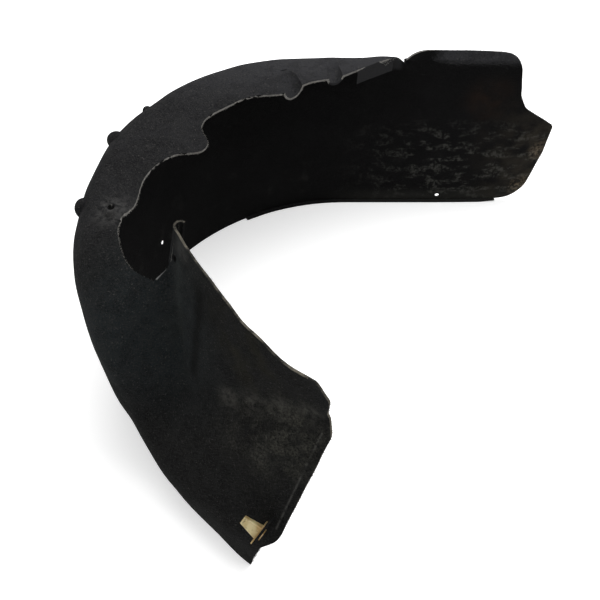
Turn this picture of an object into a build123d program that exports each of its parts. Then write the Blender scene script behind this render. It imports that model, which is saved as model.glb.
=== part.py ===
from build123d import *
from math import asin, cos, degrees, radians, sin
import os

# Wheel arch liner: one moulded sheet of needle felt, with a plastic screw grommet in its end tab.
# It is drawn about the wheel's axle, lying on its outer rim, with +Z pointing to the middle of the car.
# All sizes are in millimetres.

# Felt sheet
SHEET = 3.0
WALL_LEVEL = 294.0
UPRIGHT_LEVEL = 346.0

# Rim line, seen along the axle: a straight run and three arcs, each tangent to the last
RUN_OFFSET = 330.0
RUN_START = 285.0
RUN_END = -70.0
REAR_RADIUS = 355.0
REAR_TURN = 60.0
CROWN_RADIUS = 325.0
CROWN_TURN = 59.0
FRONT_RADIUS = 560.0
FRONT_TURN = 33.0

# Lips and trims
RIM_LIP = 9.0
WALL_LIP = 24.0
END_PLACE = 0.772
STRIP_END = 0.885
CURL_RADIUS = 8.5
CURL_ANGLE = 160.0
CURL_SINK = 0.4

# Troughs, domes and fastener holes
FLUTE_LENGTH = 45.0
FLUTE_FILL = 0.85
BOSS_RADII = (13.0, 8.0)
BOSS_HEIGHT = 6.0
DOME_RADIUS = 13.0
DOME_HEIGHT = 9.0
PIP_RADIUS = 7.0
PIP_HEIGHT = 4.5
HOLE = 8.0

# Tab across the near end, and the grommet in it
TAB_PLACE = 0.816
TAB_FOOT = (26.0, 98.0)
TAB_SLOPE = 63.0
TAB_LEAN = 16.5
TAB_REACH = 34.0
TAB_WIDTH = 36.0
TAB_CORNER = 8.0
GROMMET_STAND = 18.5
GROMMET_TURN = 30.0
FLANGE = 25.5
FLANGE_THICK = 1.6
BARREL_BASE = 16.0
BARREL_TIP = 9.5
BARREL_LENGTH = 25.0
BARREL_CORNER = 2.0
SLIT = 1.0
PIT_RADIUS = 0.8
SPIGOT = 12.0
HOOK = 1.5
SCREW_BORE = 4.2
FIT = 0.2

# Reach of the blocks that trim the sheet: past any part of it, across each end, and along the ends
WIDER = 2000.0
NEAR_CUT = 300.0
FAR_CUT = 100.0
BEYOND = 400.0
BELOW = -20.0

FAR, REAR, CROWN, FRONT = range(4)
far_run = Line((RUN_START, RUN_OFFSET), (RUN_END, RUN_OFFSET))
rear_arc = JernArc(far_run @ 1, far_run % 1, REAR_RADIUS, REAR_TURN)
crown_arc = JernArc(rear_arc @ 1, rear_arc % 1, CROWN_RADIUS, CROWN_TURN)
front_arc = JernArc(crown_arc @ 1, crown_arc % 1, FRONT_RADIUS, FRONT_TURN)
RIM_LINE = [far_run, rear_arc, crown_arc, front_arc]

# Sections across the sheet, from the far end to the near end. Each has its place on the rim line, then
# how far inward the rim is, then (inward, up) of the belly, shoulder, crease and cut edge, then the
# bend radii at belly, shoulder and crease, all on the outer face of the sheet.
W = WALL_LEVEL
U = UPRIGHT_LEVEL
SECTIONS = [
    (FAR, 0.00, -14, (-17, 150), (-19, 252), (-22, 273), (-33, 291), (300, 120, 30)),
    (FAR, 0.22, -2, (-5, 150), (-7, 252), (-10, 273), (-21, 291), (300, 120, 30)),
    (FAR, 0.55, 0, (-4, 150), (-7, 254), (-10, 275), (-21, 293), (300, 120, 30)),
    (FAR, 0.74, 0, (-6, 150), (-11, 264), (-8, 287), (0, 302), (300, 60, 20)),
    (FAR, 0.83, 0, (-8, 150), (-18, W - 4), (8, W + 1), (36, W - 3), (300, 18, 20)),
    (REAR, 0.02, 0, (-8, 150), (-22, W - 3), (35, W + 1), (85, W - 3), (300, 28, 60)),
    (REAR, 0.33, 0, (-14, 150), (-42, W), (40, W + 3), (110, W - 3), (300, 32, 80)),
    (REAR, 0.66, 0, (-24, 150), (-59, W), (40, W + 3), (115, W - 3), (300, 38, 80)),
    (CROWN, 0.00, 0, (-24, 150), (-50, W), (45, W + 4), (130, W - 2), (300, 44, 80)),
    (CROWN, 0.33, 5, (-17, 145), (-32, W), (35, W + 5), (85, W + 2), (250, 55, 60)),
    (CROWN, 0.66, 13, (-16, 140), (-25, W - 4), (40, W + 6), (95, W + 12), (200, 70, 40)),
    (CROWN, 0.90, 16, (-14, 125), (-16, W - 34), (98, W - 2), (108, U), (150, 90, 18)),
    (FRONT, 0.07, 14, (-9, 100), (5, 160), (85, 208), (111, U - 2), (110, 60, 20)),
    (FRONT, 0.17, 9, (-4, 75), (21, 116), (70, 162), (112, U - 5), (80, 60, 20)),
    (FRONT, 0.35, 8, (-2, 60), (30, 124), (74, 187), (111, U - 11), (60, 80, 20)),
    (FRONT, 0.55, 9, (2, 60), (43, 135), (91, 212), (104, U - 18), (60, 120, 18)),
    (FRONT, 0.75, 4, (5, 60), (51, 145), (104, 240), (98, U - 24), (60, 150, 15)),
    (FRONT, 1.00, 3, (9, 60), (57, 154), (112, 252), (98, U - 28), (60, 150, 12)),
]

STEPS = (14, 10, 12, 10)
PLACES = [(run, k / STEPS[run]) for run in (FAR, REAR, CROWN, FRONT) for k in range(STEPS[run])]
PLACES.append((FRONT, 1))

# Cut edge of the side wall, from the far run to the bottom of the notch: run, share of it, inward
WALL_EDGE = [
    (FAR, 0.77, -8), (FAR, 0.82, 0), (FAR, 0.90, 17), (FAR, 0.98, 34), (REAR, 0.05, 48),
    (REAR, 0.12, 54), (REAR, 0.23, 60),
    (REAR, 0.36, 72), (REAR, 0.44, 67), (REAR, 0.56, 59), (REAR, 0.68, 61), (REAR, 0.80, 65),
    (REAR, 0.85, 77), (REAR, 0.89, 97), (REAR, 0.97, 101), (CROWN, 0.05, 82), (CROWN, 0.16, 67),
    (CROWN, 0.30, 61), (CROWN, 0.48, 61), (CROWN, 0.55, 53), (CROWN, 0.63, 44), (CROWN, 0.70, 43),
    (CROWN, 0.77, 45), (CROWN, 0.83, 51), (CROWN, 0.89, 64), (CROWN, 0.925, 75),
]
# Up the notch, round the end of the upstand, then back through the wheel space
WALL_EDGE_BACK = [
    (CROWN, 0.91, 96), (CROWN, STRIP_END, 101), (CROWN, STRIP_END, 125), (CROWN, 0.80, 200),
    (REAR, 0.50, 220), (FAR, 0.77, 90),
]
# Troughs in the wall: run, share of it, inward of the wall's edge there, radius
FLUTES = [(REAR, 0.085, 51, 11), (REAR, 0.30, 68, 15)]

# Where a line from inside the arch comes out through the sheet: run, share of it, inward, up, slope
SEAT = (CROWN, 0.52, 34, WALL_LEVEL / 2, 90)
RIVET_HOLES = [(REAR, 0.96, 40, 52, 0), (FAR, 0.53, 40, 12, 0), (CROWN, 0.945, 150, 310, 0)]
# Domes on the shoulder, found from one height inside it: run, share of it, slope, radius, height
SHOULDER = (20, WALL_LEVEL - 50)
DOMES = [
    (CROWN, 0.045, 34, DOME_RADIUS, DOME_HEIGHT),
    (CROWN, 0.41, 32, DOME_RADIUS, DOME_HEIGHT),
    (REAR, 0.86, 34, PIP_RADIUS, PIP_HEIGHT),
]

# Outline of the near end: distance straight on from the tip, up, and corner radius
NEAR_END = [
    (-4, BELOW, 0), (16, 64, 12), (34, 84, 30), (36, 108, 20), (50, 228, 20), (37, 254, 14), (42, 288, 16),
    (32, 317, 14), (0, 345, 0), (0, BEYOND, 0),
]
# Outline of the far end: x, up, and corner radius
FAR_END = [
    (60, 302, 0), (197, 288, 32), (206, 222, 20), (219, 197, 25), (274, 155, 8), (270, 100, 60),
    (246, 8, 45), (140, -4, 0),
]

STANDING = (Align.CENTER, Align.CENTER, Align.MIN)
HANGING = (Align.CENTER, Align.CENTER, Align.MAX)


def station(run, share):
    """Plane across the rim line: its x points inward, its y up and its z along the line."""
    line = RIM_LINE[run]
    along = line % share
    return Plane(line @ share, x_dir=along.rotate(Axis.Z, 90), z_dir=along)


def distance(run, share):
    """Length of the rim line from its far end."""
    return sum(line.length for line in RIM_LINE[:run]) + share * RIM_LINE[run].length


def eased(places, values, place):
    """Value at a place between stated ones, on a smooth curve that never overshoots them."""
    gaps = [b - a for a, b in zip(places, places[1:])]
    slopes = [(b - a) / gap for a, b, gap in zip(values, values[1:], gaps)]
    tangents = [slopes[0]]
    for before, after in zip(slopes, slopes[1:]):
        tangents.append(2 * before * after / (before + after) if before * after > 0 else 0)
    tangents.append(slopes[-1])
    k = max(i for i in range(len(gaps)) if i == 0 or places[i] <= place)
    t = (place - places[k]) / gaps[k]
    start = (1 + 2 * t) * (1 - t) ** 2 * values[k] + t * (1 - t) ** 2 * gaps[k] * tangents[k]
    end = t * t * (3 - 2 * t) * values[k + 1] + t * t * (t - 1) * gaps[k] * tangents[k + 1]
    return start + end


def inset(corners, depth):
    """Corners of a broken line moved to its right-hand side by a depth, its foot kept level."""
    points = [Vector(*corner) for corner in corners]
    along = [(b - a).normalized() for a, b in zip(points, points[1:])]
    right = [Vector(step.Y, -step.X) for step in along]
    moved = [points[0] + Vector(depth / right[0].X, 0)]
    for point, before, after in zip(points[1:-1], right, right[1:]):
        moved.append(point + (before + after) * (depth / (1 + before.dot(after))))
    moved.append(points[-1] + right[-1] * depth)
    turns = [a.X * b.Y - a.Y * b.X for a, b in zip(along, along[1:])]
    return moved, turns


def outer_corners(run, share):
    """Corners of the outer face where the rim line is cut across, and their bend radii."""
    places = [distance(row[0], row[1]) for row in SECTIONS]
    flat = [[row[2], 0, *row[3], *row[4], *row[5], *row[6], *row[7]] for row in SECTIONS]
    here = [eased(places, column, distance(run, share)) for column in zip(*flat)]
    return list(zip(here[0:10:2], here[1:10:2])), here[10:]


def layer_section(run, share, top, bottom):
    """Closed outline between two depths under the outer face."""
    corners, radii = outer_corners(run, share)
    lines = []
    ends = []
    for depth in (top, bottom):
        moved, turns = inset(corners, depth)
        bends = [max(r + (depth if turn > 0 else -depth), 1) for r, turn in zip(radii, turns)]
        lines.append(FilletPolyline(*moved, radius=bends))
        ends.append((moved[0], moved[-1]))
    closing = Line(ends[0][0], ends[1][0]) + Line(ends[0][1], ends[1][1])
    return station(run, share) * make_face(lines[0] + lines[1] + closing)


def moulded_layer(top, bottom, places):
    """Layer of felt between two depths, lofted through sections at the given places."""
    return loft([layer_section(run, share, top, bottom) for run, share in places])


def beside(run, share, inward, up):
    """Point at a height beside the rim line."""
    return station(run, share).from_local_coords((inward, up))


def outer_face(shape, run, share, inward, up, slope):
    """Plane on the outer face where a line leaving the arch's inside at a slope comes out."""
    away = Vector(-1, 0).rotate(Axis.Z, -slope)
    start = beside(run, share, inward, up)
    heading = beside(run, share, inward + away.X, up + away.Y) - start
    hits = shape.shell().find_intersection_points(Axis(start, heading))
    point, normal = max(hits, key=lambda hit: (hit[0] - start).dot(heading))
    return Plane(point, z_dir=normal if normal.dot(heading) > 0 else -normal)


def flute(shape, run, share, edge, radius):
    """Felt to add and to cut for a round trough in the wall, deepest at its cut edge."""
    level = outer_face(shape, run, share, edge, WALL_LEVEL / 2, 90).origin.Z
    slope = FLUTE_FILL * radius / FLUTE_LENGTH
    high = beside(run, share, edge - FLUTE_LENGTH, level + radius)
    low = beside(run, share, edge + FLUTE_LENGTH, level + radius - 2 * slope * FLUTE_LENGTH)
    axis = Plane(low, z_dir=high - low)
    block = Box(4 * FLUTE_LENGTH, 4 * FLUTE_LENGTH, 4 * radius, align=HANGING)
    under = Pos(low.X, low.Y, level - SHEET / 2) * block
    length = (high - low).length
    inside, outside = [axis * Cylinder(r, length, align=STANDING) for r in (radius, radius + SHEET)]
    return outside & under, inside


def cap(plane, ball, height, sink):
    """Top of a ball that stands a height above a plane, cut off level at a depth below it."""
    latitude = degrees(asin((ball - height - sink) / ball))
    return plane.offset(-sink) * Sphere(ball, arc_size1=latitude, align=STANDING)


def dome(plane, radius, height):
    """Felt to add and to cut for a hollow dome pressed outward."""
    ball = (radius**2 + height**2) / (2 * height)
    return cap(plane, ball, height, 0.95 * SHEET), cap(plane, ball - SHEET, height - SHEET, 1.4 * SHEET)


def boss(plane):
    """Felt to add and to cut for a hollow raised seat."""
    tall = BOSS_HEIGHT + SHEET / 2
    outside = plane.offset(-SHEET / 2) * Cone(*BOSS_RADII, tall, align=STANDING)
    inner_radii = [radius - SHEET for radius in BOSS_RADII]
    return outside, plane.offset(-1.5 * SHEET) * Cone(*inner_radii, tall, align=STANDING)


def upright_prism(points, bottom, top):
    """Solid over a plan outline."""
    return extrude(Pos(0, 0, bottom) * make_face(points), top - bottom)


def wall_offcut():
    """What is cut away inside the ragged edge of the side wall."""
    edge = [beside(run, share, inward, 0) for run, share, inward in WALL_EDGE]
    back = [beside(run, share, inward, 0) for run, share, inward in WALL_EDGE_BACK]
    outline = Spline(*edge) + Polyline(edge[-1], *back, edge[0])
    return upright_prism(outline, WALL_LEVEL - 2 * WALL_LIP, UPRIGHT_LEVEL + 2 * WALL_LIP)


def wall_lip():
    """Down-turned strip along the level far part of the wall's edge, left too wide for the edge cut."""
    places = WALL_EDGE[1:4]
    outside = [beside(run, share, inward - SHEET, 0) for run, share, inward in places]
    inside = [beside(run, share, inward + SHEET, 0) for run, share, inward in places]
    sides = Spline(*outside) + Spline(*inside)
    outline = sides + Line(outside[0], inside[0]) + Line(outside[-1], inside[-1])
    return upright_prism(outline, WALL_LEVEL - WALL_LIP, WALL_LEVEL - 0.6 * SHEET)


def rim_lip():
    """Flange turned in at the foot of the far run and half the rear arc."""
    foot = moulded_layer(SHEET / 2, RIM_LIP, PLACES[: STEPS[FAR] + STEPS[REAR] // 2 + 1])
    return foot & Box(WIDER, WIDER, 2 * SHEET)


def rounded(rows):
    """Broken line through rows of x, y and corner radius, its two end radii left out."""
    return FilletPolyline(*[row[:2] for row in rows], radius=[row[2] for row in rows[1:-1]])


def end_plane():
    """Plane that looks through the near end: its x runs along the rim line and its y up."""
    plane = station(FRONT, END_PLACE)
    return Plane(plane.origin, x_dir=plane.z_dir, z_dir=-plane.x_dir)


def near_offcut():
    """What is cut away beyond the near end's outline."""
    edge = rounded(NEAR_END)
    outline = edge + Polyline(edge @ 1, (BEYOND, BEYOND), (BEYOND, BELOW), edge @ 0)
    return extrude(end_plane() * make_face(outline), NEAR_CUT, both=True)


def far_offcut():
    """What is cut away beyond the far end's outline."""
    edge = rounded(FAR_END)
    outline = edge + Polyline(edge @ 1, (BEYOND, BELOW), (BEYOND, BEYOND), edge @ 0)
    return Pos(0, RUN_OFFSET, 0) * extrude(Plane.XZ * make_face(outline), FAR_CUT, both=True)


def curl():
    """Hook at the end of the upstand, where the felt turns round to the wheel side."""
    corners, _ = outer_corners(CROWN, STRIP_END)
    foot = beside(CROWN, STRIP_END, *corners[3])
    head = beside(CROWN, STRIP_END, *corners[4])
    inward = station(CROWN, STRIP_END).x_dir
    middle = Plane(foot + inward * (CURL_RADIUS + CURL_SINK), x_dir=inward, z_dir=(0, 0, 1))
    arcs = [CenterArc((0, 0), CURL_RADIUS - depth, 180 - CURL_ANGLE, CURL_ANGLE) for depth in (0, SHEET)]
    tails = [Line(arc @ 1, arc @ 1 - (0, 2 * SHEET)) for arc in arcs]
    closing = Line(arcs[0] @ 0, arcs[1] @ 0) + Line(tails[0] @ 1, tails[1] @ 1)
    face = make_face(arcs[0] + arcs[1] + tails[0] + tails[1] + closing)
    return extrude(middle * face, (head - foot).length, dir=head - foot)


def tab_plane(shape):
    """Plane of the tab's face to the crown: its x stands off the panel and its y goes up it."""
    away = Vector(-sin(radians(TAB_SLOPE)), cos(radians(TAB_SLOPE)))
    start = Vector(*TAB_FOOT) - away * TAB_WIDTH
    foot = outer_face(shape, FRONT, TAB_PLACE, start.X, start.Y, 90 - TAB_SLOPE).origin
    across = station(FRONT, TAB_PLACE)
    facing = -across.z_dir.rotate(Axis((0, 0, 0), across.x_dir), TAB_LEAN)
    stand = across.x_dir * away.X + across.y_dir * away.Y
    return Plane(foot, x_dir=stand - facing * stand.dot(facing), z_dir=facing)


def tab(plane):
    """Felt tab that stands across the near end, with a square hole for the grommet."""
    root = 0.8 * SHEET
    blank = Pos((TAB_REACH - root) / 2, 0) * Rectangle(TAB_REACH + root, TAB_WIDTH)
    blank = fillet(blank.vertices().group_by(Axis.X)[-1], TAB_CORNER)
    hole = Pos(GROMMET_STAND, 0) * Rot(0, 0, GROMMET_TURN) * Rectangle(SPIGOT + 2 * FIT, SPIGOT + 2 * FIT)
    return extrude(plane * (blank - hole), -SHEET)


def screw_grommet(plane):
    """Split square barrel on a flange, with a spigot through the tab and hooks behind it."""
    back = -SHEET - FIT
    flange = extrude(Rectangle(FLANGE, FLANGE), FLANGE_THICK)
    barrel_foot = Pos(0, 0, FLANGE_THICK / 2) * RectangleRounded(BARREL_BASE, BARREL_BASE, BARREL_CORNER)
    barrel_tip = Pos(0, 0, BARREL_LENGTH) * RectangleRounded(BARREL_TIP, BARREL_TIP, BARREL_CORNER)
    spigot = extrude(Rectangle(SPIGOT, SPIGOT), back - HOOK)
    hook_foot = Pos(0, 0, back) * Rectangle(SPIGOT + 2 * HOOK, SPIGOT / 2)
    hook_tip = Pos(0, 0, back - HOOK) * Rectangle(SPIGOT, SPIGOT / 2)
    shape = flange + loft([barrel_foot, barrel_tip]) + spigot + loft([hook_foot, hook_tip])
    shape -= Cylinder(SCREW_BORE / 2, 4 * BARREL_LENGTH)
    for side in (-1, 1):
        slit = Pos(side * BARREL_BASE / 4, 0, 0.35 * BARREL_LENGTH)
        shape -= slit * Box(SLIT, 2 * BARREL_BASE, 0.45 * BARREL_LENGTH)
        pit = Pos(side * BARREL_TIP / 3, 0, 0.8 * BARREL_LENGTH) * Rot(90, 0, 0)
        shape -= pit * Cylinder(PIT_RADIUS, 2 * BARREL_BASE)
    seat = plane.offset(FIT) * Pos(GROMMET_STAND, 0) * Rot(0, 0, GROMMET_TURN)
    return seat * shape


def arch_liner():
    """The whole felt moulding, without its end tab."""
    blank = moulded_layer(0, SHEET, PLACES)
    pressed = [flute(blank, *row) for row in FLUTES]
    pressed.append(boss(outer_face(blank, *SEAT)))
    for run, share, slope, radius, height in DOMES:
        pressed.append(dome(outer_face(blank, run, share, *SHOULDER, slope), radius, height))
    drilled = [outer_face(blank, *row) for row in (SEAT, *RIVET_HOLES)]
    holes = [plane * Cylinder(HOLE / 2, 8 * SHEET) for plane in drilled]
    added = [outside for outside, _ in pressed]
    cut = [inside for _, inside in pressed]
    shape = blank + [*added, wall_lip(), rim_lip()]
    return shape - [*cut, *holes, wall_offcut(), far_offcut(), near_offcut()] + curl()


moulding = arch_liner()
crossing = tab_plane(moulding)
liner = moulding + tab(crossing)
box = liner.bounding_box()
to_origin = Pos(-box.center().X, -box.center().Y, -box.min.Z)

os.makedirs("parts", exist_ok=True)
export_step(to_origin * liner, "parts/arch_liner.step")
export_step(to_origin * screw_grommet(crossing), "parts/screw_grommet.step")
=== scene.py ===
# %% [markdown]
# A rear wheel arch liner: one moulded sheet of black needle felt that stands on its rim, and a pale
# plastic screw grommet on its near end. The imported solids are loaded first, because they fix where
# everything is. All that follows is finish: the frayed felt, its pale cut edges, the road dirt, the
# yellowed plastic, and then the floor and light of a plain studio.

# %% Load the solids
import math
import random

import bmesh
import bpy
from mathutils import Matrix, Vector


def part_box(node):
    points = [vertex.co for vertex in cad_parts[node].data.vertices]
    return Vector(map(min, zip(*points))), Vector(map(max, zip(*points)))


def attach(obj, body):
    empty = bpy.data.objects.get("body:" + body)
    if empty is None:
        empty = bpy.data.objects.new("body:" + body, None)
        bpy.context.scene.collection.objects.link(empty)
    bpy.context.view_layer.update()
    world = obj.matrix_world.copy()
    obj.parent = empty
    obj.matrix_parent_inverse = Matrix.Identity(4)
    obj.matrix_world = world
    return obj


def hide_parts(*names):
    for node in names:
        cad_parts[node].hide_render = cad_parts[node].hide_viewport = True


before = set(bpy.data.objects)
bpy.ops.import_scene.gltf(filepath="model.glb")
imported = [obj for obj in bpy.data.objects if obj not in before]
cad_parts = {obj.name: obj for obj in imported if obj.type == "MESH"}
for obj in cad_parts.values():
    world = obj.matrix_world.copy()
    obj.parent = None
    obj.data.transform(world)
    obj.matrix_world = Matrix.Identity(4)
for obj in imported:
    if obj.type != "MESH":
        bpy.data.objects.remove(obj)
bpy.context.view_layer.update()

AXLE = Vector((0.0867, 0.0096, 0.0))

# %% [markdown]
# The camera looks down at the liner from the open side of the near arm, fifty degrees above the
# floor. A lens of 48 mm on a 36 mm sensor gives the same mild narrowing of the far side as a
# camera held at about a metre and a quarter. It is placed by numbers, so it never drifts.

# %% Camera
CAMERA_PLACE = (-0.0633, -0.7360, 0.9959)
CAMERA_TILT = 40
LENS = 48
SENSOR = 36

bpy.ops.object.camera_add(location=CAMERA_PLACE, rotation=(math.radians(CAMERA_TILT), 0, 0))
camera = bpy.context.object
camera.data.lens = LENS
camera.data.sensor_width = SENSOR
bpy.context.scene.camera = camera
print("camera at", CAMERA_PLACE, "lens", camera.data.lens)

# %% [markdown]
# Black felt swallows light, so the studio is bright: a white floor, a wide soft box high up behind
# the arch, a weak one on the right, and a faint white sky. The large box is behind because the flat
# top of the arch is the lightest face and the faces towards the camera are the darkest. The floor
# glows a little, like a light table, so shadows stay faint. The plain Standard view keeps the tones of
# the shader: white paper stays white and black felt stays black.

# %% Floor, sky and lamps
FLOOR_SIZE = 14
FLOOR_WHITE = (0.92, 0.92, 0.92, 1)
FLOOR_GLOW = 0.45
SKY_STRENGTH = 0.55
LAMP_TARGET = Vector((0, 0, 0.1))
# Each lamp has its place, its size in metres and its power in watts
LAMPS = {
    "soft_box_behind": ((0.5, 1.3, 2.5), 3.0, 100),
    "soft_box_right": ((2.3, -0.3, 1.9), 1.6, 10),
}


def principled(material):
    return material.node_tree.nodes["Principled BSDF"]


bpy.ops.mesh.primitive_plane_add(size=FLOOR_SIZE)
floor = bpy.context.object
floor.name = "studio_floor"
paper = bpy.data.materials.new("studio_paper")
paper.use_nodes = True
principled(paper).inputs["Base Color"].default_value = FLOOR_WHITE
principled(paper).inputs["Roughness"].default_value = 0.9
principled(paper).inputs["Emission Color"].default_value = (1, 1, 1, 1)
principled(paper).inputs["Emission Strength"].default_value = FLOOR_GLOW
floor.data.materials.append(paper)

sky = bpy.data.worlds.new("studio_sky")
sky.use_nodes = True
sky.node_tree.nodes["Background"].inputs["Color"].default_value = (1, 1, 1, 1)
sky.node_tree.nodes["Background"].inputs["Strength"].default_value = SKY_STRENGTH
bpy.context.scene.world = sky
bpy.context.scene.view_settings.view_transform = "Standard"

for name, (place, size, power) in LAMPS.items():
    bpy.ops.object.light_add(type="AREA", location=place)
    lamp = bpy.context.object
    lamp.name = name
    lamp.data.size = size
    lamp.data.energy = power
    lamp.rotation_euler = (LAMP_TARGET - Vector(place)).to_track_quat("-Z", "Y").to_euler()
print("lamps", sorted(LAMPS))

# %% [markdown]
# Materials are written as sums. The class Link stands for one socket, and adding or multiplying two
# of them adds a Math node, so a mask reads like a line of arithmetic. Finish holds one material, and
# its method node adds any other kind of node: its settings first, then the values of its sockets.

# %% Writing shaders as sums
class Link:
    def __init__(self, finish, socket):
        self.finish = finish
        self.socket = socket

    def sum(self, operation, first, second):
        return self.finish.node("ShaderNodeMath", {"operation": operation}, {0: first, 1: second})

    def __add__(self, other):
        return self.sum("ADD", self, other)

    def __radd__(self, other):
        return self.sum("ADD", other, self)

    def __sub__(self, other):
        return self.sum("SUBTRACT", self, other)

    def __rsub__(self, other):
        return self.sum("SUBTRACT", other, self)

    def __mul__(self, other):
        return self.sum("MULTIPLY", self, other)

    def __rmul__(self, other):
        return self.sum("MULTIPLY", other, self)

    def larger(self, other):
        return self.sum("MAXIMUM", self, other)

    def angle_from(self, other):
        return self.sum("ARCTAN2", self, other)

    def step(self, low, high):
        """Smooth rise from nothing at low to one at high."""
        sockets = {"Value": self, "From Min": low, "From Max": high}
        return self.finish.node("ShaderNodeMapRange", {"interpolation_type": "SMOOTHSTEP"}, sockets)


class Finish:
    def __init__(self, name):
        self.material = bpy.data.materials.new(name)
        self.material.use_nodes = True
        self.tree = self.material.node_tree
        self.shader = principled(self.material)

    def node(self, kind, settings, sockets, output=0):
        made = self.tree.nodes.new(kind)
        for name, value in settings.items():
            setattr(made, name, value)
        for name, value in sockets.items():
            self.feed(made.inputs[name], value)
        return Link(self, made.outputs[output])

    def feed(self, socket, value):
        if isinstance(value, Link):
            self.tree.links.new(value.socket, socket)
        else:
            socket.default_value = value

    def set(self, **sockets):
        for name, value in sockets.items():
            self.feed(self.shader.inputs[name.replace("_", " ")], value)

    def place(self):
        return self.node("ShaderNodeTexCoord", {}, {}, "Object")

    def attribute(self, name):
        return self.node("ShaderNodeAttribute", {"attribute_name": name}, {}, "Fac")

    def noise(self, vector, scale, detail=2.0, rough=0.5):
        sockets = {"Vector": vector, "Scale": scale, "Detail": detail, "Roughness": rough}
        return self.node("ShaderNodeTexNoise", {}, sockets, 0)

    def stretched(self, vector, turn, size):
        sockets = {"Vector": vector, "Rotation": turn, "Scale": size}
        return self.node("ShaderNodeMapping", {"vector_type": "TEXTURE"}, sockets)

    def axes(self, vector):
        apart = self.node("ShaderNodeSeparateXYZ", {}, {0: vector}).socket.node
        return [Link(self, socket) for socket in apart.outputs]

    def joined(self, x, y, z):
        return self.node("ShaderNodeCombineXYZ", {}, {0: x, 1: y, 2: z})

    def mix(self, share, first, second):
        return self.node("ShaderNodeMix", {"data_type": "RGBA"}, {0: share, 6: first, 7: second}, 2)

    def near(self, vector, centre, inner, outer):
        """Mask that is one within the inner distance of a place and nothing past the outer."""
        away = self.node("ShaderNodeVectorMath", {"operation": "DISTANCE"}, {0: vector, 1: centre}, "Value")
        return away.step(outer, inner)

    def dot(self, vector, direction):
        sockets = {0: vector, 1: direction}
        return self.node("ShaderNodeVectorMath", {"operation": "DOT_PRODUCT"}, sockets, "Value")

    def seam(self, vector, start, end, facing, half_width):
        """Mask along a straight line on a face that looks the given way."""
        onward = (end - start).normalized()
        sideways = onward.cross(facing).normalized()
        length = (end - start).length
        away = self.dot(vector, sideways) - sideways.dot(start)
        passed = self.dot(vector, onward) - onward.dot(start)
        between = passed.step(0.0, half_width) * passed.step(length, length - half_width)
        return between * away.step(-half_width, 0.0) * away.step(half_width, 0.0)


def tone(red, green, blue):
    """A colour given as it looks on a screen, from 0 to 255, as the light that the shader wants."""
    shown = [v / 255 for v in (red, green, blue)]
    straight = [((v + 0.055) / 1.055) ** 2.4 if v > 0.04 else v / 12.92 for v in shown]
    return (*straight, 1.0)


print("shader helpers ready")

# %% [markdown]
# The liner itself is a sheet three millimetres thick. The solid has the right shape but the clean
# faces of a drawing, and real felt is never quite flat. So a copy of the solid is welded and given
# enough points, and later pushed about by a slow wave. It replaces the solid in the picture.

# %% Copy and weld the liner
WELD = 0.000002


def pick_only(thing):
    bpy.ops.object.select_all(action="DESELECT")
    thing.select_set(True)
    bpy.context.view_layer.objects.active = thing


liner_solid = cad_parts["arch_liner"]
felt = bpy.data.objects.new("felt_liner", liner_solid.data.copy())
bpy.context.scene.collection.objects.link(felt)
felt.data.materials.clear()
pick_only(felt)
bpy.ops.mesh.customdata_custom_splitnormals_clear()
bpy.ops.object.mode_set(mode="EDIT")
bpy.ops.mesh.select_all(action="SELECT")
bpy.ops.mesh.remove_doubles(threshold=WELD)
bpy.ops.object.mode_set(mode="OBJECT")
print("felt sheet", len(felt.data.vertices), "points", len(felt.data.polygons), "faces")

# %% [markdown]
# Where the sheet was cut with a blade, its thickness shows as a narrow ribbon of paler fibres. Those
# ribbons aren't drawn by hand: the sheet falls into patches along its sharp edges, and a patch that is
# only about as wide as the sheet is thick is a cut. The width of a ribbon is twice its area over its
# outline. The ragged edge of the flat top runs smoothly into the far strip, so it is found by its upright
# faces and its height instead. The small walls of the rivet holes stay dark. Each face remembers whether
# it is cut, and how far it looks at the wheel, which later sets its painted shade: the inside of the arch
# lies in shade under the flat top, and a face that turns up gets less.

# %% Find the cut ribbons and the wheel side
SHARP = math.radians(38)
RIBBON = 0.0070
SMALLEST_CUT = 0.0006
LIP_TOP = 0.2885
LIP_START = -0.02
RIM_FOOT = 0.008
RAGGED_EDGE = (0.278, 0.318)
RAGGED_END = 0.095
NOTCH_FOOT = -0.115
UPRIGHT = 0.03
FAR_SIDE = 0.2
LIP_SPAN = (-0.05, 0.1)
LIP_FOOT = 0.1
LOOKS_OUT = 0.5
TURNED_IN = 0.25
HANGING = -0.3
# Upward parts of a face's normal over which the painted shade on the wheel side fades out
LOOKS_UP = (0.22, 0.48)

low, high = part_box("screw_grommet")
grommet_middle = (low + high) / 2
TAB_REACH = 0.045


def is_pale(centre):
    """Whether a cut here is pale: not on the rim's foot, the far lip's tall face or the grommet's tab."""
    on_lip = centre.y > FAR_SIDE and LIP_SPAN[0] < centre.x < LIP_SPAN[1] and LIP_FOOT < centre.z < LIP_TOP
    return centre.z > RIM_FOOT and not on_lip and (centre - grommet_middle).length > TAB_REACH


def on_ragged_edge(face, centre):
    """Whether a face is on the upright cut round the open side of the flat top."""
    lowest = LIP_TOP if centre.y > FAR_SIDE and centre.x > LIP_START else RAGGED_EDGE[0]
    within = lowest < centre.z < RAGGED_EDGE[1] and centre.x < RAGGED_END and centre.y > NOTCH_FOOT
    outwards = (centre - AXLE).to_2d().normalized()
    return within and abs(face.normal.z) < UPRIGHT and face.normal.to_2d().dot(outwards) < LOOKS_OUT


def wheel_share(face, centre):
    """How far a face looks at the wheel, which sets its painted shade: one inside the arch, and less the
    more the face turns up.
    """
    facing = face.normal.to_2d().dot((centre - AXLE).to_2d().normalized())
    if facing < -TURNED_IN or (facing <= TURNED_IN and face.normal.z < HANGING):
        return min(1.0, max(0.0, (LOOKS_UP[1] - face.normal.z) / (LOOKS_UP[1] - LOOKS_UP[0])))
    return 0.0


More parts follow.
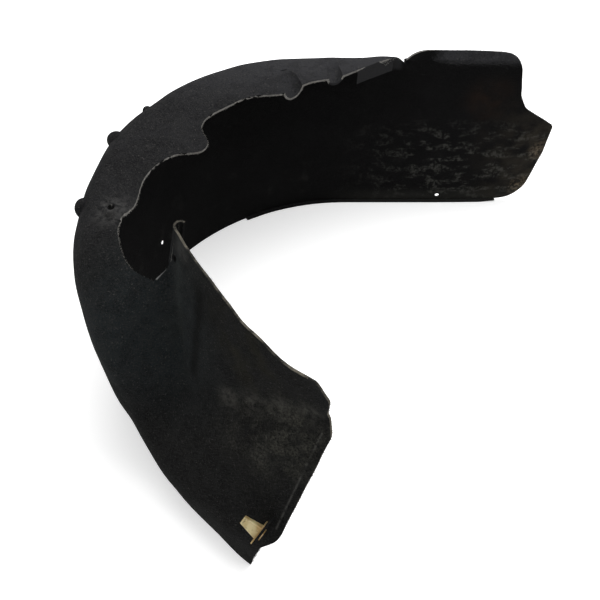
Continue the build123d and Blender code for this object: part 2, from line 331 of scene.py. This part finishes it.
sheet = bmesh.new()
sheet.from_mesh(felt.data)
sheet.faces.ensure_lookup_table()
patch_of = [None] * len(sheet.faces)
cut_faces = set()
for start in sheet.faces:
    if patch_of[start.index] is not None:
        continue
    patch_of[start.index] = start.index
    waiting = [start]
    patch = []
    outline = 0.0
    while waiting:
        face = waiting.pop()
        patch.append(face.index)
        for edge in face.edges:
            if len(edge.link_faces) != 2 or edge.calc_face_angle(0) > SHARP:
                outline += edge.calc_length()
                continue
            for other in edge.link_faces:
                if patch_of[other.index] is None:
                    patch_of[other.index] = start.index
                    waiting.append(other)
    area = sum(sheet.faces[i].calc_area() for i in patch)
    if 2 * area / outline < RIBBON and area > SMALLEST_CUT:
        cut_faces.update(i for i in patch if is_pale(sheet.faces[i].calc_center_median()))

cut_faces.update(face.index for face in sheet.faces if on_ragged_edge(face, face.calc_center_median()))
cut_values = [float(face.index in cut_faces) for face in sheet.faces]
wheel_values = [wheel_share(face, face.calc_center_median()) for face in sheet.faces]
sheet.free()

for name, values in (("cut_edge", cut_values), ("wheel_side", wheel_values)):
    layer = felt.data.attributes.new(name, "FLOAT", "FACE")
    layer.data.foreach_set("value", values)
print("cut faces", len(cut_faces), "wheel side", round(sum(wheel_values)), "patches", len(set(patch_of)))

# %% [markdown]
# A wave needs points to move, and the solid has long thin triangles on its flat faces. Every edge
# longer than a finger's width is halved until none is left.

# %% Give the flat faces points
LONGEST = 0.013


def halve_long_edges(thing, longest):
    pick_only(thing)
    bpy.ops.object.mode_set(mode="EDIT")
    bpy.ops.mesh.select_mode(type="EDGE")
    bpy.ops.mesh.select_all(action="DESELECT")
    mesh = bmesh.from_edit_mesh(thing.data)
    long_edges = [edge for edge in mesh.edges if edge.calc_length() > longest]
    for edge in long_edges:
        edge.select = True
    bmesh.update_edit_mesh(thing.data)
    if long_edges:
        bpy.ops.mesh.subdivide(number_cuts=1)
        bpy.ops.mesh.select_all(action="SELECT")
        bpy.ops.mesh.quads_convert_to_tris(quad_method="SHORTEST_DIAGONAL", ngon_method="BEAUTY")
    bpy.ops.object.mode_set(mode="OBJECT")
    return len(long_edges)


while halve_long_edges(felt, LONGEST):
    pass
print("felt sheet now", len(felt.data.polygons), "faces")

# %% [markdown]
# The raised seat by the notch is a soft mound, pressed into the warm felt with a blunt tool. In the solid
# it is a plain cone, so here the points round it are smoothed, as with a smoothing brush.

# %% Soften the raised seat
SEAT_PLACE = Vector((-0.3003, -0.0040, 0.3000))
SEAT_REACH = 0.019

pick_only(felt)
bpy.ops.object.mode_set(mode="EDIT")
bpy.ops.mesh.select_mode(type="FACE")
bpy.ops.mesh.select_all(action="DESELECT")
mesh = bmesh.from_edit_mesh(felt.data)
mound = [face for face in mesh.faces if (face.calc_center_median() - SEAT_PLACE).length < SEAT_REACH]
for face in mound:
    face.select = True
bmesh.update_edit_mesh(felt.data)
bpy.ops.mesh.subdivide(number_cuts=2)
bpy.ops.mesh.vertices_smooth(factor=0.5, repeat=9)
bpy.ops.mesh.quads_convert_to_tris(quad_method="SHORTEST_DIAGONAL", ngon_method="BEAUTY")
bpy.ops.object.mode_set(mode="OBJECT")
print("smoothed faces on the seat", len(mound))

# %% [markdown]
# The wave is three slow cloud textures, one pushing along each axis. Both faces of the sheet move together,
# because a cloud hardly changes in three millimetres. A vertex group holds the foot of the liner on the
# floor and the corner that carries the grommet where it is.

# %% Let the sheet wave
WAVES = {"X": (0.075, 0.0062), "Y": (0.065, 0.0062), "Z": (0.090, 0.0050)}
FOOT_FREE = 0.050
GROMMET_FREE = (TAB_REACH, 0.110)
FREE_GROUP = "free_to_wave"

free = felt.vertex_groups.new(name=FREE_GROUP)
for point in felt.data.vertices:
    lifted = min(1.0, point.co.z / FOOT_FREE)
    away = ((point.co - grommet_middle).length - GROMMET_FREE[0]) / (GROMMET_FREE[1] - GROMMET_FREE[0])
    free.add([point.index], max(0.0, min(lifted, away, 1.0)), "REPLACE")

pick_only(felt)
for axis, (size, push) in WAVES.items():
    cloud = bpy.data.textures.new("felt_wave_" + axis, "CLOUDS")
    cloud.noise_scale = size
    cloud.noise_depth = 1
    wave = felt.modifiers.new("wave_" + axis, "DISPLACE")
    wave.texture = cloud
    wave.texture_coords = "LOCAL"
    wave.direction = axis
    wave.strength = push
    wave.mid_level = 0.5
    wave.vertex_group = FREE_GROUP
    bpy.ops.object.modifier_apply(modifier=wave.name)
bpy.ops.object.shade_smooth_by_angle(angle=SHARP)
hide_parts("arch_liner")
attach(felt, "root")
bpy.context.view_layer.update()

# %% [markdown]
# Needle felt is a mat of crimped fibres, most of them black and a few grey, pressed and barbed together.
# Five sets of stretched noise, each turned its own way, give fibres that cross. Their lightest parts
# colour the surface and lift it. The places below are where the dust, the painted light and shade and the
# wear will go.

# %% Black needle felt
FIBRE_TURNS = ((0.3, 1.1, 0.0), (1.2, 0.2, 0.9), (0.5, 0.4, 2.2), (1.5, 1.3, 0.4), (0.9, 2.0, 1.3))
FIBRE_SIZE = (0.0010, 0.0010, 0.012)
PANEL_DUST = ((-0.110, -0.265, 0.180), (-0.075, -0.270, 0.215), (-0.060, -0.282, 0.208))
CREASE_DUST = (
    (-0.146, -0.220, 0.202), (-0.115, -0.235, 0.217), (-0.084, -0.251, 0.230), (-0.052, -0.266, 0.243),
)
TRIANGLE_DIRT = (-0.125, -0.212, 0.290)
TRIANGLE_SHADE = (-0.168, -0.162, 0.305)
STRIP_LINE = (Vector((-0.204, -0.100, 0.322)), Vector((-0.212, -0.136, 0.200)))
CREASE_LINE = (Vector((-0.176, -0.145, 0.318)), Vector((-0.196, -0.178, 0.178)))
STRIP_FACING = Vector((-0.82, -0.53, 0.21))
STRIP_TOP = (-0.200, -0.106, 0.334)
STRIP_HOLE = (-0.210, -0.095, 0.308)
NOTCH_LINE = (Vector((-0.236, -0.104, 0.280)), Vector((-0.223, -0.094, 0.290)))
NOTCH_FACING = Vector((0.15, -0.80, 0.58))
NOTCH_DUST = (-0.300, -0.004, 0.303)
SKYLIT_HOLLOW = (-0.245, -0.140, 0.225)
FOLD_LINE = (Vector((-0.039, -0.283, 0.230)), Vector((-0.092, -0.336, 0.096)))
PANEL_FACING = Vector((-0.46, -0.745, 0.485))
FAR_END_DIRT = ((0.350, 0.349, 0.106), (0.331, 0.343, 0.030))
RUST = (0.244, 0.342, 0.213)
BROAD_LINE = 0.016
FINE_LINE = 0.0022

black_felt = Finish("black_needle_felt")
spot = black_felt.place()
across, along, height = black_felt.axes(spot)
wheel = black_felt.attribute("wheel_side")
cut = black_felt.attribute("cut_edge")
outside = 1 - wheel

fibres = None
for turn in FIBRE_TURNS:
    strand = black_felt.noise(black_felt.stretched(spot, turn, FIBRE_SIZE), 1.0, 2.0).step(0.50, 0.72)
    fibres = strand if fibres is None else fibres.larger(strand)
grain = black_felt.noise(spot, 380, 3.0, 0.7)
slow = black_felt.noise(spot, 9, 4.0, 0.6).step(0.35, 0.68)
print("fibre layers", len(FIBRE_TURNS))

# %% [markdown]
# Clean felt first. Its ground is nearly black and changes slowly over the sheet, and painted light and
# shade
# go into it: darker on the near arm as painted shade, greyer on the far top as a painted highlight, bluish
# in the hollow by the notch as painted skylight, lighter on the strip as a painted highlight, and paler at
# the top end of the strip. Fibres and pale hairs lie over that ground. Painted shade then darkens the lower
# arm, the crease beside the strip and the upper corner of the triangle. The side that faces the wheel lies
# in shade under the flat top and is painted the darkest; its far lip faces out of that shade and is painted
# lighter.

# %% Colour of the clean felt
# Painted shade: the near arm faces the camera and is turned from the lamps, so its ground is darker.
near_arm_shade = along.step(0.02, -0.14)
ground = black_felt.mix(slow, tone(18, 18, 21), tone(28, 28, 31))
ground = black_felt.mix(near_arm_shade * 0.9, ground, black_felt.mix(slow, tone(13, 14, 14), tone(20, 22, 21)))
# Painted highlight: the far top faces up to the lamp behind, so its ground is greyer.
far_top_highlight = along.step(0.20, 0.33) * height.step(0.270, 0.285) * outside
ground = black_felt.mix(far_top_highlight * 0.7, ground, tone(60, 60, 64))
# Painted skylight: the hollow by the notch faces the sky, so it is tinted bluish.
hollow = black_felt.near(spot, SKYLIT_HOLLOW, 0.04, 0.15) * outside
ground = black_felt.mix(hollow * 0.75, ground, tone(31, 39, 42))
# Painted highlight: the strip faces the light, so its ground is lighter.
paler = black_felt.seam(spot, *STRIP_LINE, STRIP_FACING, BROAD_LINE) * outside
ground = black_felt.mix(paler * 0.6, ground, tone(50, 55, 54))
# The top end of the strip is paler.
pale_strip_top = black_felt.near(spot, STRIP_TOP, 0.004, 0.022) * outside
ground = black_felt.mix(pale_strip_top * 0.5, ground, tone(84, 84, 82))
cloudy = black_felt.noise(spot, 52, 5.0, 0.72).step(0.40, 0.68)
ground = black_felt.mix(cloudy * 0.35, ground, tone(40, 40, 40))
ground = black_felt.mix(cloudy.step(0.35, 0.0) * 0.35, ground, tone(9, 9, 10))
ground = black_felt.mix(fibres * 0.7, ground, tone(47, 47, 46))
pale_hairs = grain.step(0.56, 0.68) * fibres.step(0.4, 0.95)
ground = black_felt.mix(pale_hairs * 0.5, ground, tone(98, 96, 92))
ground = black_felt.mix(grain.step(0.44, 0.30) * 0.55, ground, tone(6, 6, 7))
# Painted shade over the lower arm.
lower_arm_shade = along.step(-0.14, -0.20) * outside
ground = black_felt.mix(lower_arm_shade * 0.28, ground, tone(5, 5, 4))
# Painted shade in the crease beside the strip.
crease_shade = black_felt.seam(spot, *CREASE_LINE, STRIP_FACING, BROAD_LINE) * outside
ground = black_felt.mix(crease_shade * 0.6, ground, tone(6, 6, 5))
shaded = black_felt.near(spot, TRIANGLE_SHADE, 0.008, 0.050) * outside
ground = black_felt.mix(shaded * 0.3, ground, tone(8, 8, 6))
# Painted shade: the side that faces the wheel lies in shade under the flat top, so it is painted nearly
# black.
ground = black_felt.mix(wheel * 0.9, ground, tone(8, 8, 8))
# Painted light: the far lip faces out of the shade under the flat top, so on the wheel side it is painted
# lighter.
lit_far_lip = height.step(0.262, 0.270) * along.step(0.24, 0.26)
lit_far_lip = lit_far_lip * across.step(-0.04, -0.02) * across.step(0.10, 0.09)
ground = black_felt.mix(lit_far_lip * wheel * 0.7, ground, tone(44, 44, 45))
print("clean felt", len(black_felt.tree.nodes), "nodes")

# %% [markdown]
# Dirt comes on top: dry dust on the panel, along its crease and round the raised seat, a pale line where
# the end was folded, splashes drawn out along the band that the tyre faces, dust on the far foot, worn
# spots at the far end and a breath of rust.

# %% Dust, splashes and wear
dust_cloud = black_felt.noise(spot, 34, 5.0, 0.72).step(0.36, 0.72) * grain.step(0.30, 0.70)
for centre in PANEL_DUST:
    dust = black_felt.near(spot, centre, 0.0, 0.085) * dust_cloud
    ground = black_felt.mix(dust * outside * 0.6, ground, tone(76, 75, 68))
for centre in CREASE_DUST:
    dust = black_felt.near(spot, centre, 0.0, 0.026) * black_felt.noise(spot, 90, 4.0, 0.7).step(0.34, 0.66)
    ground = black_felt.mix(dust * outside * 0.55, ground, tone(80, 79, 74))
soil = black_felt.near(spot, TRIANGLE_DIRT, 0.01, 0.085) * black_felt.noise(spot, 22, 4.0).step(0.42, 0.66)
ground = black_felt.mix(soil * outside * 0.5, ground, tone(40, 38, 28))
speckle = black_felt.noise(spot, 120, 4.0).step(0.36, 0.62)
pale_seat = black_felt.near(spot, NOTCH_DUST, 0.004, 0.040) * speckle
ground = black_felt.mix(pale_seat * outside * 0.35, ground, tone(96, 95, 94))

worn_away = black_felt.noise(spot, 140, 3.0).step(0.36, 0.60)
fold = black_felt.seam(spot, *FOLD_LINE, PANEL_FACING, FINE_LINE) * worn_away
ground = black_felt.mix(fold * outside * 0.4, ground, tone(90, 89, 86))

swept = (along - AXLE.y).angle_from(across - AXLE.x)
rows = black_felt.noise(black_felt.joined(swept * 11, height * 62, 0.0), 1.0, 2.0).step(0.47, 0.60)
broken = black_felt.noise(spot, 150, 5.0, 0.75).step(0.42, 0.62)
far_run = across.step(-0.02, 0.20) * along.step(0.10, 0.18) * height.step(0.185, 0.135)
ground = black_felt.mix(rows * broken * far_run * wheel * 0.6, ground, tone(70, 70, 66))
mottle = black_felt.noise(spot, 24, 5.0, 0.7).step(0.56, 0.70) * height.step(0.16, 0.05)
ground = black_felt.mix(mottle * wheel * 0.12, ground, tone(58, 57, 54))
foot_dust = height.step(0.035, 0.004) * along.step(0.10, 0.18) * across.step(-0.05, 0.10)
ground = black_felt.mix(foot_dust * 0.5, ground, tone(48, 48, 45))
end_soil = across.step(0.20, 0.36) * black_felt.noise(spot, 40, 4.0).step(0.30, 0.65)
end_soil = end_soil * height.step(0.24, 0.15)
ground = black_felt.mix(end_soil * wheel * 0.35, ground, tone(60, 55, 46))
for centre in FAR_END_DIRT:
    worn = black_felt.near(spot, centre, 0.004, 0.030) * broken
    ground = black_felt.mix(worn * 0.5, ground, tone(112, 98, 80))
rust = black_felt.near(spot, RUST, 0.0, 0.06) * black_felt.noise(spot, 35, 4.0).step(0.25, 0.75)
ground = black_felt.mix(rust * wheel * 0.35, ground, tone(48, 32, 20))
print("felt with its dirt", len(black_felt.tree.nodes), "nodes")

# %% [markdown]
# A fresh cut shows grey fibres, palest round the ragged edge of the flat top. The turned-down far lip
# shows its cut only along its top, the right side of the notch catches the light as a painted highlight,
# and the hole at the end of the upstand is painted dark as shade. The fibres also lift the surface, so that
# it looks matted and not printed.

# %% Pale cuts and the lie of the fibres
def on_wall_edge(height, along):
    """Mask of the ragged edge round the flat top."""
    return height.step(0.268, 0.282) * height.step(0.330, 0.315) * along.step(-0.13, -0.10)


patchy = black_felt.noise(spot, 70, 3.0).step(0.36, 0.66)
cut_tone = black_felt.mix(patchy, tone(40, 39, 37), tone(118, 113, 102))
cut_tone = black_felt.mix(on_wall_edge(height, along) * 0.8, cut_tone, tone(136, 134, 130))
lip_side = along.step(0.24, 0.26) * across.step(0.02, 0.03) * height.step(0.2935, 0.2920)
cut_shown = cut * (1 - lip_side) * (0.5 + 0.5 * grain.step(0.35, 0.6))
ground = black_felt.mix(cut_shown, ground, cut_tone)
bright = black_felt.seam(spot, *NOTCH_LINE, NOTCH_FACING, FINE_LINE) * height.step(0.262, 0.268) * outside
ground = black_felt.mix(bright * 0.8, ground, tone(160, 160, 158))
# Painted shade: the hole at the end of the upstand is painted dark.
hole_shade = black_felt.near(spot, STRIP_HOLE, 0.0042, 0.0056)
ground = black_felt.mix(hole_shade * 0.95, ground, tone(5, 5, 5))
lift = fibres * 0.7 + grain * 0.8 + black_felt.noise(spot, 1300, 2.0) * 0.25
bump = black_felt.node("ShaderNodeBump", {}, {"Strength": 0.8, "Distance": 0.0012, "Height": lift})
black_felt.set(Base_Color=ground, Roughness=0.93 + 0.06 * grain, Normal=bump)
black_felt.set(Sheen_Weight=0.01, Sheen_Roughness=0.6, Specular_IOR_Level=0.03)
felt.data.materials.append(black_felt.material)
print("felt shader", len(black_felt.tree.nodes), "nodes")

# %% [markdown]
# Along a cut the fibres stand out as fuzz. One tuft is modelled as a few bent hairs. The die is seeded,
# so that the fuzz is the same in every run.

# %% One tuft of fibres
HAIR = 0.0026
HAIR_ROOT = 0.00010
TUFT_HAIRS = 4
LEAN = (0.2, 0.9)
UNEVEN = 0.6
DROOP = 0.35

random.seed(11)
hairs = []
for count in range(TUFT_HAIRS):
    bpy.ops.object.select_all(action="DESELECT")
    bpy.ops.mesh.primitive_cone_add(
        vertices=3, radius1=HAIR_ROOT, radius2=HAIR_ROOT / 3, depth=HAIR, end_fill_type="NOTHING",
        location=(0, 0, HAIR / 2))
    hair = bpy.context.object
    bpy.ops.object.transform_apply(location=True)
    bpy.ops.object.mode_set(mode="EDIT")
    bpy.ops.mesh.select_all(action="DESELECT")
    strand_mesh = bmesh.from_edit_mesh(hair.data)
    for edge in strand_mesh.edges:
        edge.select = abs(edge.verts[0].co.z - edge.verts[1].co.z) > HAIR / 2
    bmesh.update_edit_mesh(hair.data)
    bpy.ops.mesh.subdivide(number_cuts=1)
    bpy.ops.object.mode_set(mode="OBJECT")
    lean = random.uniform(*LEAN)
    heading = 2 * math.pi * (count + random.uniform(0, UNEVEN)) / TUFT_HAIRS
    for point in hair.data.vertices:
        drift = lean * point.co.z * point.co.z / HAIR
        point.co.x += drift * math.cos(heading)
        point.co.y += drift * math.sin(heading)
        point.co.z *= 1 - DROOP * lean * point.co.z / HAIR
    hairs.append(hair)
for hair in hairs:
    hair.select_set(True)
bpy.ops.object.join()
tuft = bpy.context.object
print("tuft", len(tuft.data.polygons), "faces")

# %% [markdown]
# Copies of the tuft are then set on the cut ribbons. Each face gets as many as its area is owed, at places
# thrown by the die, and each copy stands on its face, turned and sized by chance. They are joined into
# one piece.

# %% Set tufts along the cuts
TUFT_AREA = 0.0000034
TUFT_SIZES = (0.35, 1.0)

cut_layer = felt.data.attributes["cut_edge"].data
tufts = []
owed = 0.0
for face in felt.data.polygons:
    if cut_layer[face.index].value < 0.5:
        continue
    owed += face.area / TUFT_AREA
    corners = [felt.data.vertices[i].co for i in face.vertices[:3]]
    while owed > 1:
        owed -= 1
        shares = sorted((random.random(), random.random()))
        weights = (shares[0], shares[1] - shares[0], 1 - shares[1])
        root = sum((corner * weight for corner, weight in zip(corners, weights)), Vector())
        turned = face.normal.to_track_quat("Z", "Y").to_matrix().to_4x4()
        spun = Matrix.Rotation(random.uniform(0, 2 * math.pi), 4, "Z")
        sized = Matrix.Scale(random.uniform(*TUFT_SIZES), 4)
        copy = bpy.data.objects.new("tuft_copy", tuft.data.copy())
        copy.data.transform(Matrix.Translation(root) @ turned @ spun @ sized)
        bpy.context.scene.collection.objects.link(copy)
        tufts.append(copy)
bpy.data.objects.remove(tuft)
bpy.ops.object.select_all(action="DESELECT")
for copy in tufts:
    copy.select_set(True)
bpy.context.view_layer.objects.active = tufts[0]
bpy.ops.object.join()
fuzz = bpy.context.object
fuzz.name = "cut_edge_fuzz"
bpy.ops.object.shade_smooth()
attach(fuzz, "root")
print("fuzz", len(tufts), "tufts", len(fuzz.data.polygons), "faces")

# %% [markdown]
# The hairs take the tones of the cut below them, and some are as dark as the felt.

# %% Pale fibres
pale_fibre = Finish("pale_cut_fibre")
strand_spot = pale_fibre.place()
strand_tone = pale_fibre.noise(strand_spot, 60, 3.0).step(0.38, 0.64)
fleck = pale_fibre.noise(strand_spot, 700, 1.0).step(0.42, 0.58)
hair_tone = pale_fibre.mix(strand_tone, tone(40, 39, 38), tone(128, 123, 112))
_, strand_along, strand_height = pale_fibre.axes(strand_spot)
hair_tone = pale_fibre.mix(on_wall_edge(strand_height, strand_along) * 0.8, hair_tone, tone(150, 148, 143))
hair_tone = pale_fibre.mix(fleck * 0.5, hair_tone, tone(36, 36, 37))
pale_fibre.set(Base_Color=hair_tone, Roughness=0.8 + 0.15 * fleck, Specular_IOR_Level=0.2)
fuzz.data.materials.append(pale_fibre.material)
print("fibre shader", len(pale_fibre.tree.nodes), "nodes")

# %% [markdown]
# The grommet is nylon that was once nearly white. Heat and salt have yellowed it, unevenly, and black
# grime sits on it in patches that thicken towards its narrow end, where they also stand for painted shade.
# Towards the flange it turns orange-brown as painted shade, and a dark band behind the flange is painted
# shadow. The solid has all its shapes, so it only gets this finish.

# %% Yellowed nylon grommet
BARREL_AXIS = Vector((0.794, -0.537, -0.284))

nylon = Finish("yellowed_nylon")
nylon_spot = nylon.place()
age = nylon.noise(nylon_spot, 70, 3.0).step(0.35, 0.65)
grime = nylon.noise(nylon_spot, 190, 4.0, 0.65).step(0.56, 0.70)
scuff = nylon.noise(nylon_spot, 900, 2.0)
toward_flange = nylon.dot(nylon_spot, BARREL_AXIS) - BARREL_AXIS.dot(grommet_middle)
flange_shade = toward_flange.step(-0.004, 0.009)
tip_grime_and_shade = toward_flange.step(-0.006, -0.015)
shade = nylon.mix(age, tone(198, 184, 140), tone(166, 142, 88))
# Painted shade: towards the flange the nylon turns orange-brown.
shade = nylon.mix(flange_shade * 0.55, shade, tone(150, 112, 60))
# Grime in patches, thickening towards the narrow end, where it is also painted shade.
shade = nylon.mix(grime * (0.45 + 0.5 * tip_grime_and_shade), shade, tone(46, 40, 30))
# Painted shadow: a dark band behind the flange.
shade = nylon.mix(toward_flange.step(0.0102, 0.0118) * 0.85, shade, tone(38, 34, 28))
graze = nylon.node("ShaderNodeBump", {}, {"Strength": 0.3, "Distance": 0.0004, "Height": scuff})
nylon.set(Base_Color=shade, Roughness=0.42 + 0.3 * grime, Normal=graze)
nylon.set(Subsurface_Weight=0.08, Subsurface_Scale=0.002)
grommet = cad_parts["screw_grommet"]
grommet.data.materials.clear()
grommet.data.materials.append(nylon.material)
print("nylon shader", len(nylon.tree.nodes), "nodes")
